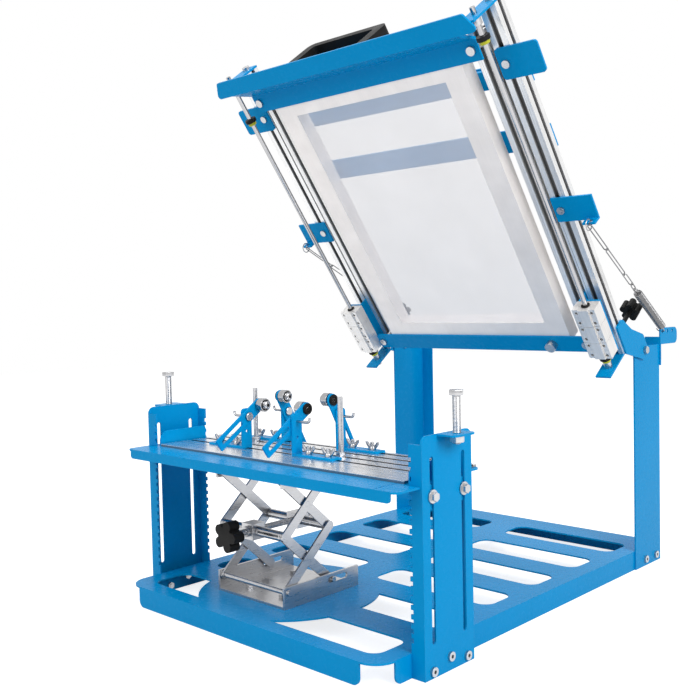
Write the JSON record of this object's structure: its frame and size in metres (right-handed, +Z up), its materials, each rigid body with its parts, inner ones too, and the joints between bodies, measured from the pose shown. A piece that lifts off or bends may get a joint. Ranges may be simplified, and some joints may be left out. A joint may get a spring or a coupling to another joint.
{
  "type": "tabletop screen printing press",
  "caption": "Tabletop screen printing press: a hinged arm carries a sliding screen over a scissor jack platform with tilting roller stands for round and flat work.",
  "frame": {"origin": "centre of the bounding box at bench level, under the press, with the screen raised", "axes": "+Z up, +X to the right as the operator stands at the front, +Y to the back, where the arm hinges"},
  "size_m": [0.476, 0.6284, 0.6719],
  "materials": {
    "blue_sheet": "glossy blue powder coat",
    "zinc_steel": "zinc plated steel",
    "rod_steel": "ground and polished rod",
    "rail_aluminium": "satin anodised extrusion",
    "block_aluminium": "machined blocks",
    "plate_aluminium": "milled plate",
    "frame_aluminium": "pale matt tube",
    "screen_fabric": "fine translucent mesh",
    "black_plastic": "black moulded grip",
    "stop_rubber": "black rubber with a yellow green ring",
    "roller_steel": "hardened ring",
    "spring_steel": "nickel plated wire"
  },
  "bodies": {
    "base": {"base_tray": "blue_sheet", "front_post_left": "blue_sheet", "front_post_right": "blue_sheet", "rear_post_left": "blue_sheet", "rear_post_right": "blue_sheet", "frame_screws": "zinc_steel", "spring_anchors": "blue_sheet", "jack_base": "zinc_steel"},
    "stop_bolt_left": {"stop_bolt_left": "zinc_steel"},
    "stop_bolt_right": {"stop_bolt_right": "zinc_steel"},
    "jack_lower_arms": {"jack_lower_arms": "zinc_steel"},
    "jack_lower_crossers": {"jack_lower_crossers": "zinc_steel"},
    "jack_upper_arms": {"jack_upper_arms": "zinc_steel"},
    "jack_upper_crossers": {"jack_upper_crossers": "zinc_steel"},
    "jack_trunnion": {"jack_trunnion": "zinc_steel"},
    "jack_nut": {"jack_nut": "zinc_steel"},
    "jack_screw": {"jack_screw": "zinc_steel", "jack_knob": "black_plastic"},
    "platform": {"jack_top": "zinc_steel", "platform": "blue_sheet", "slot_plate": "plate_aluminium", "platform_bolts": "zinc_steel", "stop_rods": "zinc_steel"},
    "arm": {"arm_rail_left": "rail_aluminium", "arm_rail_right": "rail_aluminium", "guide_rod_left": "rod_steel", "guide_rod_right": "rod_steel", "end_plates": "blue_sheet", "hinge_bracket_left": "blue_sheet", "hinge_bracket_right": "blue_sheet", "chain_brackets": "blue_sheet", "arm_screws": "zinc_steel", "bumpers": "stop_rubber", "squeegee_bars": "blue_sheet"},
    "star_knob_left": {"star_knob_left": "black_plastic"},
    "star_knob_right": {"star_knob_right": "black_plastic"},
    "carriage": {"carriage_angles": "blue_sheet", "bearing_blocks": "block_aluminium", "inner_rails": "rail_aluminium", "front_bar": "blue_sheet", "rear_bar": "blue_sheet", "handle": "black_plastic", "screen_frame": "frame_aluminium", "screen_mesh": "screen_fabric", "carriage_bolts": "zinc_steel"},
    "springs": {"spring_left": "spring_steel", "spring_right": "spring_steel"},
    "chains": {"chains": "spring_steel"},
    "stand_1": {"stand_1": "blue_sheet"},
    "tilt_arm_1": {"tilt_arm_1": "blue_sheet"},
    "roller_1": {"roller_1": "roller_steel"},
    "stand_2": {"stand_2": "blue_sheet"},
    "tilt_arm_2": {"tilt_arm_2": "blue_sheet"},
    "roller_2": {"roller_2": "roller_steel"},
    "stand_3": {"stand_3": "blue_sheet"},
    "tilt_arm_3": {"tilt_arm_3": "blue_sheet"},
    "roller_3": {"roller_3": "roller_steel"},
    "stand_4": {"stand_4": "blue_sheet"},
    "tilt_arm_4": {"tilt_arm_4": "blue_sheet"},
    "roller_4": {"roller_4": "roller_steel"}
  },
  "joints": [
    {"name": "arm_hinge", "type": "hinge", "parent": "base", "child": "arm", "pos_m": [0, 0.21425, 0.285], "axis": [1, 0, 0], "range_deg": [0, 48.8], "deforming": ["spring_left", "spring_right"]},
    {"name": "carriage_slide", "type": "slide", "parent": "arm", "child": "carriage", "axis": [0, -0.5948, 0.8039], "range_m": [0, 0.3]},
    {"name": "spring_swing", "type": "hinge", "parent": "base", "child": "springs", "pos_m": [0, 0.26925, 0.307], "axis": [1, 0, 0], "range_deg": [0, 40.81]},
    {"name": "chain_slide", "type": "slide", "parent": "springs", "child": "chains", "axis": [0, -0.882, 0.4713], "range_m": [0, 0.02466]},
    {"name": "stop_bolt_left_slide", "type": "slide", "parent": "base", "child": "stop_bolt_left", "axis": [0, 0, 1], "range_m": [-0.02, 0]},
    {"name": "star_knob_left_spin", "type": "hinge", "parent": "arm", "child": "star_knob_left", "pos_m": [-0.1924, 0.19576, 0.33352], "axis": [0, 0.8039, 0.5948], "continuous": true},
    {"name": "stop_bolt_right_slide", "type": "slide", "parent": "base", "child": "stop_bolt_right", "axis": [0, 0, 1], "range_m": [-0.02, 0]},
    {"name": "star_knob_right_spin", "type": "hinge", "parent": "arm", "child": "star_knob_right", "pos_m": [0.1924, 0.19576, 0.33352], "axis": [0, 0.8039, 0.5948], "continuous": true},
    {"name": "jack_lift", "type": "hinge", "parent": "base", "child": "jack_lower_arms", "pos_m": [-0.036, -0.25475, 0.041], "axis": [1, 0, 0], "range_deg": [-21.5, 1.5]},
    {"name": "jack_lower_cross", "type": "hinge", "parent": "jack_lower_arms", "child": "jack_lower_crossers", "pos_m": [-0.036, -0.2203, 0.07148], "axis": [1, 0, 0], "range_deg": [-3, 43]},
    {"name": "jack_upper_pivot", "type": "hinge", "parent": "jack_lower_arms", "child": "jack_upper_arms", "pos_m": [-0.036, -0.18585, 0.10196], "axis": [1, 0, 0], "range_deg": [-3, 43]},
    {"name": "jack_upper_cross", "type": "hinge", "parent": "jack_upper_arms", "child": "jack_upper_crossers", "pos_m": [-0.036, -0.2203, 0.13244], "axis": [1, 0, 0], "range_deg": [-43, 3]},
    {"name": "jack_top_pivot", "type": "hinge", "parent": "jack_upper_arms", "child": "platform", "pos_m": [-0.036, -0.25475, 0.16292], "axis": [1, 0, 0], "range_deg": [-21.5, 1.5]},
    {"name": "jack_trunnion_pivot", "type": "hinge", "parent": "jack_lower_crossers", "child": "jack_trunnion", "pos_m": [-0.036, -0.25475, 0.10196], "axis": [1, 0, 0], "range_deg": [-21.5, 1.5]},
    {"name": "jack_nut_pivot", "type": "hinge", "parent": "jack_lower_arms", "child": "jack_nut", "pos_m": [-0.036, -0.18585, 0.10196], "axis": [1, 0, 0], "range_deg": [-1.5, 21.5]},
    {"name": "jack_screw_spin", "type": "hinge", "parent": "jack_trunnion", "child": "jack_screw", "pos_m": [-0.036, -0.25475, 0.10196], "axis": [0, 1, 0], "continuous": true},
    {"name": "stand_1_slide", "type": "slide", "parent": "platform", "child": "stand_1", "axis": [1, 0, 0], "range_m": [-0.024, 0]},
    {"name": "tilt_arm_1_swing", "type": "hinge", "parent": "stand_1", "child": "tilt_arm_1", "pos_m": [-0.082, -0.22075, 0.2235], "axis": [1, 0, 0], "range_deg": [-20, 0]},
    {"name": "roller_1_spin", "type": "hinge", "parent": "tilt_arm_1", "child": "roller_1", "pos_m": [-0.0731, -0.20251, 0.2358], "axis": [1, 0, 0], "continuous": true},
    {"name": "stand_2_slide", "type": "slide", "parent": "platform", "child": "stand_2", "axis": [1, 0, 0], "range_m": [-0.024, 0]},
    {"name": "tilt_arm_2_swing", "type": "hinge", "parent": "stand_2", "child": "tilt_arm_2", "pos_m": [-0.082, -0.15675, 0.2235], "axis": [1, 0, 0], "range_deg": [0, 20]},
    {"name": "roller_2_spin", "type": "hinge", "parent": "tilt_arm_2", "child": "roller_2", "pos_m": [-0.0731, -0.16708, 0.24293], "axis": [1, 0, 0], "continuous": true},
    {"name": "stand_3_slide", "type": "slide", "parent": "platform", "child": "stand_3", "axis": [1, 0, 0], "range_m": [0, 0.024]},
    {"name": "tilt_arm_3_swing", "type": "hinge", "parent": "stand_3", "child": "tilt_arm_3", "pos_m": [0.001, -0.22075, 0.2235], "axis": [1, 0, 0], "range_deg": [-20, 0]},
    {"name": "roller_3_spin", "type": "hinge", "parent": "tilt_arm_3", "child": "roller_3", "pos_m": [-0.0079, -0.20251, 0.2358], "axis": [1, 0, 0], "continuous": true},
    {"name": "stand_4_slide", "type": "slide", "parent": "platform", "child": "stand_4", "axis": [1, 0, 0], "range_m": [0, 0.024]},
    {"name": "tilt_arm_4_swing", "type": "hinge", "parent": "stand_4", "child": "tilt_arm_4", "pos_m": [0.008, -0.15675, 0.2235], "axis": [1, 0, 0], "range_deg": [0, 20]},
    {"name": "roller_4_spin", "type": "hinge", "parent": "tilt_arm_4", "child": "roller_4", "pos_m": [-0.0009, -0.16708, 0.24293], "axis": [1, 0, 0], "continuous": true}
  ],
  "couplings": [
    {"joint": "jack_lower_cross", "follows": "jack_lift", "ratio": -2},
    {"joint": "jack_upper_pivot", "follows": "jack_lift", "ratio": -2},
    {"joint": "jack_upper_cross", "follows": "jack_lift", "ratio": 2},
    {"joint": "jack_top_pivot", "follows": "jack_lift", "ratio": 1},
    {"joint": "jack_trunnion_pivot", "follows": "jack_lift", "ratio": 1},
    {"joint": "jack_nut_pivot", "follows": "jack_lift", "ratio": -1},
    {"joint": "spring_swing", "follows": "arm_hinge", "ratio": 0.826},
    {"joint": "chain_slide", "follows": "arm_hinge", "m_per_rad": 0.0286}
  ]
}
